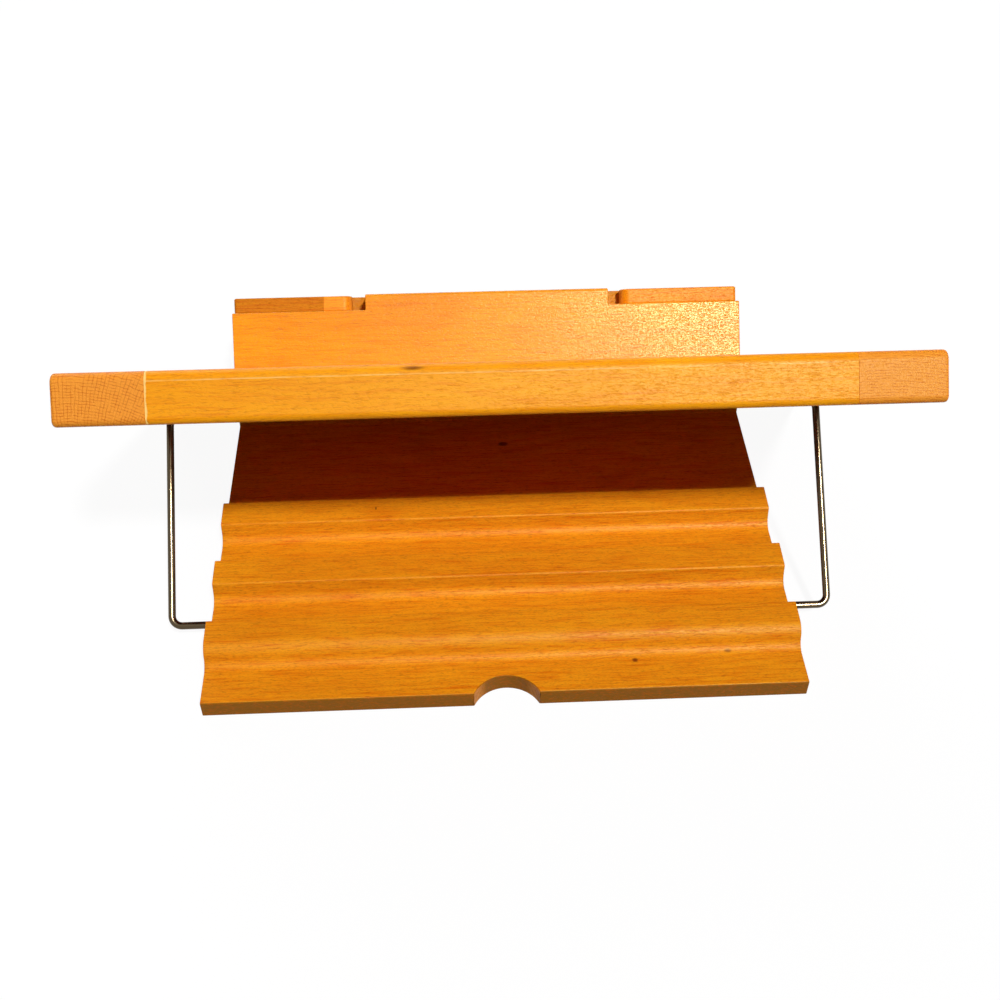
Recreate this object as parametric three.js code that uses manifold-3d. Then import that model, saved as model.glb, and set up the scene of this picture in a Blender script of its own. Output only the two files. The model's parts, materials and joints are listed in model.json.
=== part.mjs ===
// Folding bookstand rack in beech: a framed panel leans back over a ratchet base board and is
// propped by a wire bail whose crossbar drops into one of three grooves.
//
// Millimetres. +X is the reader's right, +Y points away from the reader, +Z is up.
// The origin is the centre of the base board's underside. The stand is at rest with the bail
// in the rearmost groove, which is the most reclined setting.
import * as THREE from 'three';
import { mergeVertices } from 'three/addons/utils/BufferGeometryUtils.js';
import Module from 'manifold-3d';

const wasm = await Module();
wasm.setup();

// ---------------------------------------------------------------- driving dimensions
const seatGap = 0.3;              // left between two pieces that touch or are glued
const cutOverrun = 1;             // cuts run this far past the faces they open
const sideClearance = 1.5;        // between the base board's ends and the stiles

// Base board, milled from one length of stock
const baseLength = 179.4;           // front of the nose to the rear edge
const stockThickness = 17.5;      // nose and tooth lips keep the full stock
const floorThickness = 8;         // under the grooves and at the rear edge
const baseArris = 0.8;            // small break on the board's long edges
const baseEndBreak = 0.5;         // and round its sawn ends
const rearLip = 32.1;             // rear edge to the lip of the rearmost tooth
const toothPitch = 34.1;
const toothCount = 3;
const toothWidth = 14.1;          // lip to the foot of the sloping rear face
const toothRearRun = 1.9;         // how far the rear face leans
const toothFrontRun = 4.8;        // how far the face that holds the bail leans
const crestDrop = 0.9;            // crest below the lip
const crestRadius = 2.5;
const lastCrestRadius = 4.5;      // the rearmost tooth is eased for the hand
const footRadius = 3;
const lipRadius = 0.6;
const notchChord = 25.5;          // finger notch in the rear edge
const notchDepth = 8.4;
const notchEase = 1.4;            // rounding where the notch meets the rear edge

// Panel: two stiles with two rails and a thin board between them
const panelWidth = 301;
const panelHeight = 198.7;
const frameThickness = 18;
const stileWidth = 31;
const topRailHeight = 15;
const bottomRailHeight = 14.7;    // of the thick part, above the nose of the base board
const bottomRailRelief = 4.1;     // its back sits this far in from the stiles' backs
const frontRound = 3.5;           // long front edges
const backRound = 2.5;            // long back edges
const endRound = 2.2;             // outer side edges
const boardThickness = 4;
const boardRecess = 1;            // board behind the frame's front face
const boardTongue = 5;            // depth of the grooves that hold the board
const heelRound = 4.4;            // lower back edge of the stiles, which turns past the table

// Hinge of the panel on the base board
const pinRadius = 2;
const closedClearance = 0.45;     // teeth to the thin board when the stand is folded flat
const tableClearance = 0.25;      // stiles' lower ends above the table when the panel is upright
const noseClearance = 0.55;       // bottom rail to the base board's nose
const pinIntoBase = 14;           // length of each pin inside the base board
const pinRecess = 0.5;            // pin end below the stile's outer face

// Ledge that the book stands on
const ledgeThickness = 18.6;
const ledgeDepth = 39.1;            // panel front to the front of the ledge
const ledgeTop = 15.6;            // ledge surface above the hinge pin, along the panel
const ledgeRound = 1.5;
const ledgeEndBreak = 0.8;
const rebateDepth = 7.4;          // along the ledge's depth
const rebateDrop = 16;          // below the ledge surface

// Page holders in the ledge's front rebates
const holderLength = 55;
const holderEndGap = 6.5;         // inner end of each holder to the ledge's full-depth middle
const holderHeight = 8.7;
const holderCorner = 1.5;
const holderEdge = 0.8;
const holderScrewRadius = 2;
const holderScrewHead = 2.9;
const holderScrewHeadHeight = 2; // countersunk flush with the holder
const holderScrewBite = 13;       // length held in the ledge

// Wire bail
const wireRadius = 1.5;
const bailArmInset = 13.5;        // centre line of each arm from its stile's inner edge
const bailArm = 85.2;             // pivot axis to crossbar axis
const bailBend = 4;               // centre-line radius of the bends
const bailEnd = 12;               // arm centre line to the tip of each turned-in end
const bailPivotHeight = 88;       // above the hinge pin, along the panel
const bailGroove = 0;             // groove in use at rest, counted from the rear

// Saddles: flat straps let in flush over the bail's ends, in the slots of the stiles
const saddleWidth = 7;
const saddleLength = 22;
const saddleThickness = 1;
const saddleScrewRadius = 1.5;
const saddleScrewHead = 2.4;
const saddleScrewHeadHeight = 0.9;
const saddleScrewBite = 9;
const saddleScrewEdge = 0.8;      // screw head to the strap's end
const saddleInset = 0.5;          // strap in from the wire's tip

// Joinery
const dowelRadius = 3;
const frameDowelLength = 30;
const ledgeScrewRadius = 1.5;
const ledgeScrewHead = 2.6;
const ledgeScrewHeadHeight = 1.6;
const ledgeScrewLength = 35;
const ledgeScrewMargin = 25;      // outer screws in from the ledge's ends
const ledgeScrewCount = 4;

// ---------------------------------------------------------------- worked-out places
const innerWidth = panelWidth - 2 * stileWidth;
const baseWidth = innerWidth - 2 * sideClearance;
const ledgeWidth = baseWidth;
const noseRadius = stockThickness / 2;
const bailWidth = innerWidth + 2 * bailArmInset;
const rearEdge = baseLength / 2;
const pinY = -baseLength / 2 + noseRadius;
const pinZ = noseRadius;

// In the panel's own frame the hinge pin is the origin, +Z runs up the panel and -Y is the front.
// Folded flat, the teeth fill the recess behind the thin board, which sets the pin's place.
const recessDepth = frameThickness - boardRecess - boardThickness;
const panelBack = recessDepth - noseRadius - closedClearance;
const panelFront = panelBack - frameThickness;
const panelBottom = tableClearance - noseRadius;
const panelTop = panelBottom + panelHeight;
const boardFront = panelFront + boardRecess;
const boardBack = boardFront + boardThickness;
const noseSpace = noseRadius + noseClearance;
const bottomRailTop = noseSpace + bottomRailHeight;
const topRailBottom = panelTop - topRailHeight;
const railLength = innerWidth - 2 * seatGap;
const bottomRailBack = panelBack - bottomRailRelief;
const seatRadius = wireRadius + seatGap;
const wireY = panelBack - saddleThickness - seatGap - wireRadius;

const ledgeRoot = panelFront - seatGap;
const ledgeFront = panelFront - ledgeDepth;
const ledgeBottom = ledgeTop - ledgeThickness;
const rebateBack = ledgeFront + rebateDepth;
const rebateFloor = ledgeTop - rebateDrop;
const holderThickness = rebateDepth - seatGap;
const holderZ = rebateFloor + seatGap + holderHeight / 2;
const holderOuter = ledgeWidth / 2;
const holderInner = holderOuter - holderLength;
const holderPivotX = holderInner + holderHeight / 2;
const centreBlockEnd = holderInner - holderEndGap;
const bailEndReach = bailWidth / 2 - bailEnd;
const saddleX = bailEndReach + saddleInset + saddleWidth / 2;
const saddleScrewZ = saddleLength / 2 - saddleScrewHead - saddleScrewEdge;
const ledgeScrewZ = (noseSpace + ledgeTop) / 2;
const ledgeScrewXs = Array.from(
  { length: ledgeScrewCount },
  (_, i) => (ledgeWidth / 2 - ledgeScrewMargin) * (2 * i / (ledgeScrewCount - 1) - 1),
);

// Lean of the panel and swing of the bail, from the triangle of hinge pin, bail pivot and groove
const faceSlope = Math.atan2(stockThickness - floorThickness, toothFrontRun);
const grooveFoot = rearEdge - rearLip - bailGroove * toothPitch - toothFrontRun;
const barY = grooveFoot - seatRadius * Math.tan(faceSlope / 2);
const barZ = floorThickness + seatRadius;
const pinToBar = Math.hypot(barY - pinY, barZ - pinZ);
const pinToPivot = Math.hypot(wireY, bailPivotHeight);
const barRise = Math.atan2(barZ - pinZ, barY - pinY);
const pivotSetBack = Math.atan2(wireY, bailPivotHeight);
const angleAtPin = Math.acos(
  (pinToPivot ** 2 + pinToBar ** 2 - bailArm ** 2) / (2 * pinToPivot * pinToBar),
);
const lean = pivotSetBack + barRise + angleAtPin;     // 0 is flat on the base, 90 degrees upright
const pivotAngle = lean - pivotSetBack;
const armAngle = Math.atan2(
  barZ - pinZ - pinToPivot * Math.sin(pivotAngle),
  barY - pinY - pinToPivot * Math.cos(pivotAngle),
);
const bailSwing = armAngle - lean + Math.PI;          // 0 hangs down the panel's back

// ---------------------------------------------------------------- finishes
const beech = new THREE.MeshStandardMaterial({ color: 0xd98a35, roughness: 0.38, metalness: 0 });
const paleBeech = new THREE.MeshStandardMaterial({ color: 0xe39a45, roughness: 0.4, metalness: 0 });
const dowelWood = new THREE.MeshStandardMaterial({ color: 0xc9a26c, roughness: 0.7, metalness: 0 });
const steel = new THREE.MeshStandardMaterial({ color: 0xb9b7ae, roughness: 0.25, metalness: 1 });

// ---------------------------------------------------------------- shape helpers
const arcSteps = 5;
const roundSides = 16;

// A closed outline with its corners rounded. Corners are [a, b, radius], anticlockwise.
function roundedShape(corners) {
  const count = corners.length;
  const points = corners.flatMap(([a, b, radius = 0], i) => {
    const corner = new THREE.Vector2(a, b);
    if (radius === 0) return [corner];
    const [previous, next] = [corners[(i + count - 1) % count], corners[(i + 1) % count]];
    const back = new THREE.Vector2(previous[0] - a, previous[1] - b).normalize();
    const ahead = new THREE.Vector2(next[0] - a, next[1] - b).normalize();
    const half = Math.acos(THREE.MathUtils.clamp(back.dot(ahead), -1, 1)) / 2;
    const centre = corner.clone()
      .addScaledVector(back.clone().add(ahead).normalize(), radius / Math.sin(half));
    const from = corner.clone().addScaledVector(back, radius / Math.tan(half)).sub(centre).angle();
    const turn = Math.sign(ahead.cross(back)) * (Math.PI - 2 * half);
    return Array.from({ length: arcSteps + 1 }, (_, step) => {
      const angle = from + turn * (step / arcSteps);
      return new THREE.Vector2(centre.x + radius * Math.cos(angle), centre.y + radius * Math.sin(angle));
    });
  });
  return new THREE.Shape(points.filter((point, i) => (
    point.distanceTo(points[(i + points.length - 1) % points.length]) > 1e-3
  )));
}

// An outline in Y and Z carried along X, with its end edges bevelled inwards
function alongX(shape, from, to, bevel = 0, bevelSegments = 1) {
  const geometry = new THREE.ExtrudeGeometry(shape, {
    depth: to - from - 2 * bevel,
    curveSegments: arcSteps,
    steps: 1,
    bevelEnabled: bevel > 0,
    bevelSize: bevel,
    bevelThickness: bevel,
    bevelOffset: -bevel,
    bevelSegments,
  });
  geometry.translate(0, 0, from + bevel);
  const turn = new THREE.Matrix4().makeBasis(
    new THREE.Vector3(0, 1, 0), new THREE.Vector3(0, 0, 1), new THREE.Vector3(1, 0, 0),
  );
  return geometry.applyMatrix4(turn);
}

// An outline in X and Z carried along Y
function alongY(shape, from, to, bevel = 0) {
  const geometry = new THREE.ExtrudeGeometry(shape, {
    depth: to - from - 2 * bevel,
    curveSegments: arcSteps,
    steps: 1,
    bevelEnabled: bevel > 0,
    bevelSize: bevel,
    bevelThickness: bevel,
    bevelOffset: -bevel,
    bevelSegments: 2,
  });
  geometry.translate(0, 0, -to + bevel);
  return geometry.rotateX(Math.PI / 2);
}

// An outline in X and Y carried up Z
function alongZ(shape, from, to) {
  const geometry = new THREE.ExtrudeGeometry(shape, { depth: to - from, curveSegments: 12, bevelEnabled: false });
  return geometry.translate(0, 0, from);
}

function block(x, y, z) {
  const geometry = new THREE.BoxGeometry(x[1] - x[0], y[1] - y[0], z[1] - z[0]);
  return geometry.translate((x[0] + x[1]) / 2, (y[0] + y[1]) / 2, (z[0] + z[1]) / 2);
}

// A round bar along X through the point [y, z]
function barX(radius, from, to, [y, z]) {
  const geometry = new THREE.CylinderGeometry(radius, radius, to - from, roundSides);
  return geometry.rotateZ(-Math.PI / 2).translate((from + to) / 2, y, z);
}

// A turned piece along Y: profile points are [radius, y], on the axis at both ends
function turnedY(points, x, z) {
  const profile = points.map(([radius, y]) => new THREE.Vector2(radius, y));
  return new THREE.LatheGeometry(profile, roundSides).translate(x, 0, z);
}

// Closed geometry to a solid that can be cut, and back
function solid(geometry) {
  const bare = geometry.clone();
  bare.deleteAttribute('normal');
  bare.deleteAttribute('uv');
  const merged = mergeVertices(bare, 1e-4);
  const corners = Array.from(merged.index.array);
  const triangles = [];
  for (let i = 0; i < corners.length; i += 3) {
    const [a, b, c] = corners.slice(i, i + 3);
    if (a !== b && b !== c && c !== a) triangles.push(a, b, c);
  }
  return new wasm.Manifold(new wasm.Mesh({
    numProp: 3,
    vertProperties: new Float32Array(merged.attributes.position.array),
    triVerts: new Uint32Array(triangles),
  }));
}

function piece(name, shape, material) {
  let geometry = shape;
  if (!shape.isBufferGeometry) {
    const { vertProperties, triVerts } = shape.getMesh();
    geometry = new THREE.BufferGeometry();
    geometry.setAttribute('position', new THREE.BufferAttribute(vertProperties, 3));
    geometry.setIndex(new THREE.BufferAttribute(triVerts, 1));
    geometry.computeVertexNormals();
  }
  const mesh = new THREE.Mesh(geometry, material);
  mesh.name = name;
  return mesh;
}

const sides = [['left', -1], ['right', 1]];
const span = (sign, near, far) => (sign < 0 ? [-far, -near] : [near, far]);

// ---------------------------------------------------------------- base board
// One moulded section: nose, flat, three teeth, flat
function baseSection() {
  const outline = [
    [-baseLength / 2, 0, noseRadius],
    [rearEdge, 0, baseArris],
    [rearEdge, floorThickness, baseArris],
  ];
  for (let tooth = 0; tooth < toothCount; tooth += 1) {
    const lip = rearEdge - rearLip - tooth * toothPitch;
    const foot = lip + toothWidth;
    outline.push(
      [foot, floorThickness, footRadius],
      [foot - toothRearRun, stockThickness - crestDrop, tooth === 0 ? lastCrestRadius : crestRadius],
      [lip, stockThickness, lipRadius],
      [lip - toothFrontRun, floorThickness, wireRadius],
    );
  }
  outline.push(
    [pinY + noseRadius, floorThickness],
    [pinY + noseRadius, stockThickness, noseRadius],
    [-baseLength / 2, stockThickness, noseRadius],
  );
  return roundedShape(outline);
}

// The finger notch: a segment of a circle, eased where it meets the rear edge
function notchCut() {
  const half = notchChord / 2;
  const radius = (half ** 2 + notchDepth ** 2) / (2 * notchDepth);
  const centreY = rearEdge - notchDepth + radius;
  const turn = Math.asin((half - notchEase / 2) / radius);
  const shape = new THREE.Shape();
  shape.moveTo(half + notchEase, rearEdge + notchDepth);
  shape.lineTo(-half - notchEase, rearEdge + notchDepth);
  shape.lineTo(-half - notchEase, rearEdge);
  shape.quadraticCurveTo(-half, rearEdge, -radius * Math.sin(turn), centreY - radius * Math.cos(turn));
  shape.absarc(0, centreY, radius, -Math.PI / 2 - turn, -Math.PI / 2 + turn, false);
  shape.quadraticCurveTo(half, rearEdge, half + notchEase, rearEdge);
  return alongZ(shape, -cutOverrun, stockThickness);
}

function makeBase() {
  let board = solid(alongX(baseSection(), -baseWidth / 2, baseWidth / 2, baseEndBreak));
  board = board.subtract(solid(notchCut()));
  for (const [, sign] of sides) {
    const hole = span(sign, baseWidth / 2 - pinIntoBase - seatGap, baseWidth / 2 + cutOverrun);
    board = board.subtract(solid(barX(pinRadius + seatGap, ...hole, [pinY, pinZ])));
  }
  return piece('base_board', board, beech);
}

// ---------------------------------------------------------------- panel frame
// The whole frame's outer form, from which the stiles and rails are sawn
const frameBlank = solid(alongX(roundedShape([
  [panelFront, panelBottom, frontRound],
  [panelBack, panelBottom, heelRound],
  [panelBack, panelTop, backRound],
  [panelFront, panelTop, frontRound],
]), -panelWidth / 2, panelWidth / 2, endRound, 3));

const boardX = [-innerWidth / 2 - boardTongue + seatGap, innerWidth / 2 + boardTongue - seatGap];
const boardY = [boardFront, boardBack];
const boardZ = [bottomRailTop - boardTongue, topRailBottom + boardTongue];
const grow = ([low, high]) => [low - seatGap, high + seatGap];
const boardSlot = solid(block(grow(boardX), grow(boardY), grow(boardZ)));

const railDowels = [
  ['top', [panelBack - frameThickness / 2, topRailBottom + topRailHeight / 2]],
  ['bottom', [(bottomRailBack + boardBack) / 2 - seatGap, (noseSpace + bottomRailTop) / 2]],
];

function makeStiles() {
  return sides.map(([side, sign]) => {
    let stile = frameBlank.intersect(solid(block(
      span(sign, innerWidth / 2, panelWidth / 2 + cutOverrun),
      grow([panelFront, panelBack]),
      grow([panelBottom, panelTop]),
    )));
    stile = stile.subtract(boardSlot);
    const pinHole = span(sign, innerWidth / 2 - cutOverrun, panelWidth / 2 + cutOverrun);
    stile = stile.subtract(solid(barX(pinRadius + seatGap, ...pinHole, [0, 0])));
    for (const [, place] of railDowels) {
      const hole = span(sign, innerWidth / 2 - cutOverrun, (innerWidth + frameDowelLength) / 2 + seatGap);
      stile = stile.subtract(solid(barX(dowelRadius + seatGap, ...hole, place)));
    }
    stile = stile.subtract(solid(bailSlot(sign)));
    stile = stile.subtract(solid(block(
      span(sign, saddleX - saddleWidth / 2 - seatGap, saddleX + saddleWidth / 2 + seatGap),
      [panelBack - saddleThickness - seatGap, panelBack + cutOverrun],
      [bailPivotHeight - saddleLength / 2 - seatGap, bailPivotHeight + saddleLength / 2 + seatGap],
    )));
    for (const offset of [-saddleScrewZ, saddleScrewZ]) {
      stile = stile.subtract(solid(turnedY([
        [0, panelBack - saddleScrewBite - seatGap],
        [saddleScrewRadius + seatGap, panelBack - saddleScrewBite - seatGap],
        [saddleScrewRadius + seatGap, panelBack + cutOverrun],
        [0, panelBack + cutOverrun],
      ], sign * saddleX, bailPivotHeight + offset)));
    }
    return piece(`stile_${side}`, stile, paleBeech);
  });
}

// The slot that takes the wire in a stile's back: in from the edge at the pivot, up beside the arm,
// and back to the edge for the crossbar of the folded bail
function bailSlot(sign) {
  const mouth = innerWidth / 2 - cutOverrun;
  const [near, far] = [bailWidth / 2 - seatRadius, bailWidth / 2 + seatRadius];
  const [foot, head] = [bailPivotHeight, bailPivotHeight + bailArm];
  const corners = [
    [mouth, foot - seatRadius],
    [far, foot - seatRadius, seatRadius],
    [far, head + seatRadius, bailBend + seatRadius],
    [mouth, head + seatRadius],
    [mouth, head - seatRadius],
    [near, head - seatRadius, bailBend - seatRadius],
    [near, foot + seatRadius, bailBend - seatRadius],
    [mouth, foot + seatRadius],
  ].map(([x, z, radius]) => [sign * x, z, radius]);
  return alongY(roundedShape(sign < 0 ? corners.reverse() : corners), wireY - seatRadius, panelBack + cutOverrun);
}

function makeTopRail() {
  let rail = frameBlank.intersect(solid(block(
    [-railLength / 2, railLength / 2],
    grow([panelFront, panelBack]),
    [topRailBottom, panelTop + cutOverrun],
  )));
  rail = rail.subtract(boardSlot);
  for (const [, sign] of sides) {
    rail = rail.subtract(solid(barX(dowelRadius + seatGap, ...railHole(sign), railDowels[0][1])));
  }
  return piece('top_rail', rail, beech);
}

// Dowel hole in a rail's end, open at the end
function railHole(sign) {
  return span(sign, (innerWidth - frameDowelLength) / 2 - seatGap, innerWidth / 2 + cutOverrun);
}

// Thick above the base board's nose, with a skirt in front of it
function makeBottomRail() {
  let rail = frameBlank.intersect(solid(block(
    [-railLength / 2, railLength / 2],
    [panelFront - cutOverrun, bottomRailBack],
    [panelBottom - cutOverrun, bottomRailTop],
  )));
  rail = rail.subtract(solid(block(
    [-innerWidth / 2, innerWidth / 2],
    [-noseSpace, panelBack + cutOverrun],
    [panelBottom - cutOverrun, noseSpace],
  )));
  rail = rail.subtract(boardSlot);
  for (const [, sign] of sides) {
    rail = rail.subtract(solid(barX(dowelRadius + seatGap, ...railHole(sign), railDowels[1][1])));
  }
  for (const x of ledgeScrewXs) rail = rail.subtract(solid(ledgeScrew(x, seatGap, cutOverrun)));
  return piece('bottom_rail', rail, beech);
}

function makeFrameDowels() {
  return railDowels.flatMap(([rail, place]) => sides.map(([side, sign]) => {
    const ends = span(sign, (innerWidth - frameDowelLength) / 2, (innerWidth + frameDowelLength) / 2);
    return piece(`dowel_${rail}_${side}`, barX(dowelRadius, ...ends, place), dowelWood);
  }));
}

function makeHingePins() {
  return sides.map(([side, sign]) => {
    const ends = span(sign, baseWidth / 2 - pinIntoBase, panelWidth / 2 - pinRecess);
    return piece(`hinge_pin_${side}`, barX(pinRadius, ...ends, [0, 0]), steel);
  });
}

// ---------------------------------------------------------------- ledge
// Countersunk screw driven from the rail's back; growth and proud make its hole
function ledgeScrew(x, growth = 0, proud = 0) {
  const head = bottomRailBack;
  return turnedY([
    [0, head - ledgeScrewLength - growth],
    [ledgeScrewRadius + growth, head - ledgeScrewLength - growth + (growth ? 0 : ledgeScrewRadius)],
    [ledgeScrewRadius + growth, head - ledgeScrewHeadHeight - growth],
    [ledgeScrewHead + growth, head],
    [ledgeScrewHead + growth, head + proud],
    [0, head + proud],
  ].filter((point, i, all) => i === 0 || point[0] !== all[i - 1][0] || point[1] !== all[i - 1][1]), x, ledgeScrewZ);
}

function makeLedge() {
  let ledge = solid(alongX(roundedShape([
    [ledgeFront, ledgeBottom, ledgeRound],
    [ledgeRoot, ledgeBottom, ledgeRound],
    [ledgeRoot, ledgeTop, ledgeRound],
    [ledgeFront, ledgeTop, ledgeRound],
  ]), -ledgeWidth / 2, ledgeWidth / 2, ledgeEndBreak, 2));
  for (const [, sign] of sides) {
    ledge = ledge.subtract(solid(block(
      span(sign, centreBlockEnd, ledgeWidth / 2 + cutOverrun),
      [ledgeFront - cutOverrun, rebateBack],
      [rebateFloor, ledgeTop + cutOverrun],
    )));
    ledge = ledge.subtract(solid(turnedY([
      [0, rebateBack - cutOverrun],
      [holderScrewRadius + seatGap, rebateBack - cutOverrun],
      [holderScrewRadius + seatGap, rebateBack + holderScrewBite + seatGap],
      [0, rebateBack + holderScrewBite + seatGap],
    ], sign * holderPivotX, holderZ)));
  }
  for (const x of ledgeScrewXs) ledge = ledge.subtract(solid(ledgeScrew(x, seatGap, cutOverrun)));
  return piece('ledge', ledge, beech);
}

function makeLedgeScrews() {
  return ledgeScrewXs.map((x, i) => piece(`ledge_screw_${i + 1}`, ledgeScrew(x), steel));
}

// ---------------------------------------------------------------- page holders
function makeHolders() {
  return sides.flatMap(([side, sign]) => {
    const round = [holderInner, holderHeight / 2];
    const square = [holderOuter, holderCorner];
    const [low, high] = sign < 0 ? [square, round] : [round, square];
    const outline = roundedShape([
      [sign * low[0], holderZ - holderHeight / 2, low[1]],
      [sign * high[0], holderZ - holderHeight / 2, high[1]],
      [sign * high[0], holderZ + holderHeight / 2, high[1]],
      [sign * low[0], holderZ + holderHeight / 2, low[1]],
    ]);
    let holder = solid(alongY(outline, ledgeFront, ledgeFront + holderThickness, holderEdge));
    const bore = holderScrewRadius + seatGap;
    const neck = ledgeFront + holderScrewHeadHeight;
    holder = holder.subtract(solid(turnedY([
      [0, ledgeFront - cutOverrun],
      [holderScrewHead + seatGap, ledgeFront - cutOverrun],
      [holderScrewHead + seatGap, ledgeFront],
      [bore, neck],
      [bore, rebateBack + cutOverrun],
      [0, rebateBack + cutOverrun],
    ], sign * holderPivotX, holderZ)));
    const screw = turnedY([
      [0, ledgeFront],
      [holderScrewHead, ledgeFront],
      [holderScrewRadius, neck],
      [holderScrewRadius, rebateBack + holderScrewBite - holderScrewRadius],
      [0, rebateBack + holderScrewBite],
    ], sign * holderPivotX, holderZ);
    return [piece(`page_holder_${side}`, holder, beech), piece(`holder_screw_${side}`, screw, steel)];
  });
}

// ---------------------------------------------------------------- wire bail
// A path through chosen stations, so that straight runs take one step and bends take several
class StationPath extends THREE.Curve {
  constructor(stations) {
    super();
    this.stations = stations;
  }

  getPoint(t, target = new THREE.Vector3()) {
    const place = THREE.MathUtils.clamp(t, 0, 1) * (this.stations.length - 1);
    const index = Math.min(Math.floor(place), this.stations.length - 2);
    return target.lerpVectors(this.stations[index], this.stations[index + 1], place - index);
  }

  getUtoTmapping(u) {
    return u;
  }
}

// Corners joined by straight runs, with a round bend at each inner corner
function bentWire(corners, bendRadius, bendSteps = 6) {
  const stations = [corners[0].clone()];
  for (let i = 1; i < corners.length - 1; i += 1) {
    const back = corners[i - 1].clone().sub(corners[i]).normalize();
    const ahead = corners[i + 1].clone().sub(corners[i]).normalize();
    const centre = corners[i].clone().addScaledVector(back, bendRadius).addScaledVector(ahead, bendRadius);
    for (let step = 0; step <= bendSteps; step += 1) {
      const angle = (step / bendSteps) * Math.PI / 2;
      stations.push(centre.clone()
        .addScaledVector(ahead, -bendRadius * Math.cos(angle))
        .addScaledVector(back, -bendRadius * Math.sin(angle)));
    }
  }
  stations.push(corners[corners.length - 1].clone());
  return stations;
}

function makeBail() {
  const arm = bailWidth / 2;
  const corners = [
    new THREE.Vector3(-bailEndReach, 0, 0),
    new THREE.Vector3(-arm, 0, 0),
    new THREE.Vector3(-arm, 0, -bailArm),
    new THREE.Vector3(arm, 0, -bailArm),
    new THREE.Vector3(arm, 0, 0),
    new THREE.Vector3(bailEndReach, 0, 0),
  ];
  const stations = bentWire(corners, bailBend);
  const section = new THREE.Shape().absarc(0, 0, wireRadius, 0, 2 * Math.PI, false);
  const wire = new THREE.ExtrudeGeometry(section, {
    steps: stations.length - 1,
    curveSegments: 12,
    extrudePath: new StationPath(stations),
    bevelEnabled: false,
  });
  return piece('bail', wire, steel);
}

// A flat strap over the bail's turned-in end, with a countersunk screw above and below it
function makeSaddles() {
  const low = panelBack - saddleThickness;
  const neck = panelBack - saddleScrewHeadHeight;
  return sides.map(([side, sign]) => {
    const ends = span(sign, saddleX - saddleWidth / 2, saddleX + saddleWidth / 2);
    let saddle = solid(block(ends, [low, panelBack], [-saddleLength / 2, saddleLength / 2]));
    const parts = [];
    [-saddleScrewZ, saddleScrewZ].forEach((z, i) => {
      saddle = saddle.subtract(solid(turnedY([
        [0, low - cutOverrun],
        [saddleScrewRadius + seatGap, low - cutOverrun],
        [saddleScrewRadius + seatGap, neck],
        [saddleScrewHead + seatGap, panelBack],
        [saddleScrewHead + seatGap, panelBack + cutOverrun],
        [0, panelBack + cutOverrun],
      ], sign * saddleX, z)));
      const screw = turnedY([
        [0, panelBack - saddleScrewBite],
        [saddleScrewRadius, panelBack - saddleScrewBite + saddleScrewRadius],
        [saddleScrewRadius, neck],
        [saddleScrewHead, panelBack],
        [0, panelBack],
      ], sign * saddleX, z);
      parts.push(piece(`saddle_screw_${side}_${i ? 'upper' : 'lower'}`, screw, steel));
    });
    const group = new THREE.Group();
    group.position.z = bailPivotHeight;
    group.add(piece(`bail_saddle_${side}`, saddle, steel), ...parts);
    return group;
  });
}

// ---------------------------------------------------------------- assembly
const stand = new THREE.Group();
stand.add(makeBase());

const panel = new THREE.Group();
panel.position.set(0, pinY, pinZ);
panel.rotation.x = lean - Math.PI / 2;
panel.add(
  ...makeStiles(),
  makeTopRail(),
  makeBottomRail(),
  piece('back_board', block(boardX, boardY, boardZ), paleBeech),
  ...makeFrameDowels(),
  ...makeHingePins(),
  makeLedge(),
  ...makeLedgeScrews(),
  ...makeHolders(),
  ...makeSaddles(),
);
stand.add(panel);

const bailHanger = new THREE.Group();
bailHanger.position.set(0, wireY, bailPivotHeight);
bailHanger.rotation.x = bailSwing;
bailHanger.add(makeBail());
panel.add(bailHanger);

export default stand;
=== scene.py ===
"""Folding bookstand in lacquered beech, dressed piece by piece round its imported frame.

Lengths are metres. +X is the reader's right, +Y points away from the reader, +Z is up.
"""

import json
import math

import bmesh
import bpy
from bpy.props import FloatProperty, FloatVectorProperty, IntProperty, PointerProperty
from mathutils import Matrix, Vector


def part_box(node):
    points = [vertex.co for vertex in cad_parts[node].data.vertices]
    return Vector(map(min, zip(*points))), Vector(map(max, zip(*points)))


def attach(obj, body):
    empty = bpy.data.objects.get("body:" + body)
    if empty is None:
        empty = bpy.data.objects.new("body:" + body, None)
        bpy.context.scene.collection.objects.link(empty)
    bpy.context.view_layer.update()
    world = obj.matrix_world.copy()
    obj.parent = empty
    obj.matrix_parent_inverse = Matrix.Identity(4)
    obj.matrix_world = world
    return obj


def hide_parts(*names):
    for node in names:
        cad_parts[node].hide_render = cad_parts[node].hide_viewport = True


bl_info = {
    "name": "Folding Bookstand",
    "version": (1, 0, 0),
    "blender": (4, 5, 0),
    "location": "View3D > Sidebar > Bookstand",
    "description": "Builds the wood, wire and fittings of a folding bookstand",
    "category": "Object",
}

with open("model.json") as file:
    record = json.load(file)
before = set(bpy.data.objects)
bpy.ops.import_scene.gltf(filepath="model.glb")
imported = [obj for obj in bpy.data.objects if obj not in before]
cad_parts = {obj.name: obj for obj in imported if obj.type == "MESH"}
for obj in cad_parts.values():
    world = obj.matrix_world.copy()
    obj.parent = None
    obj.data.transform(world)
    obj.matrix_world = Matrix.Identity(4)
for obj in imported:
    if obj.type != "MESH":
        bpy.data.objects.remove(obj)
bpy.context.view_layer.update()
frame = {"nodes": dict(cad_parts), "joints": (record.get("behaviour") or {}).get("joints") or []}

# The panel's own frame: origin on the hinge pins, +Y into its back, +Z up its height
JOINTS = {joint["name"]: joint for joint in frame["joints"]}
PIN = Vector(JOINTS["panel_tilt"]["pos_m"])
INTO_BACK = Vector(JOINTS["page_holder_left_turn"]["axis"]).normalized()
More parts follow.
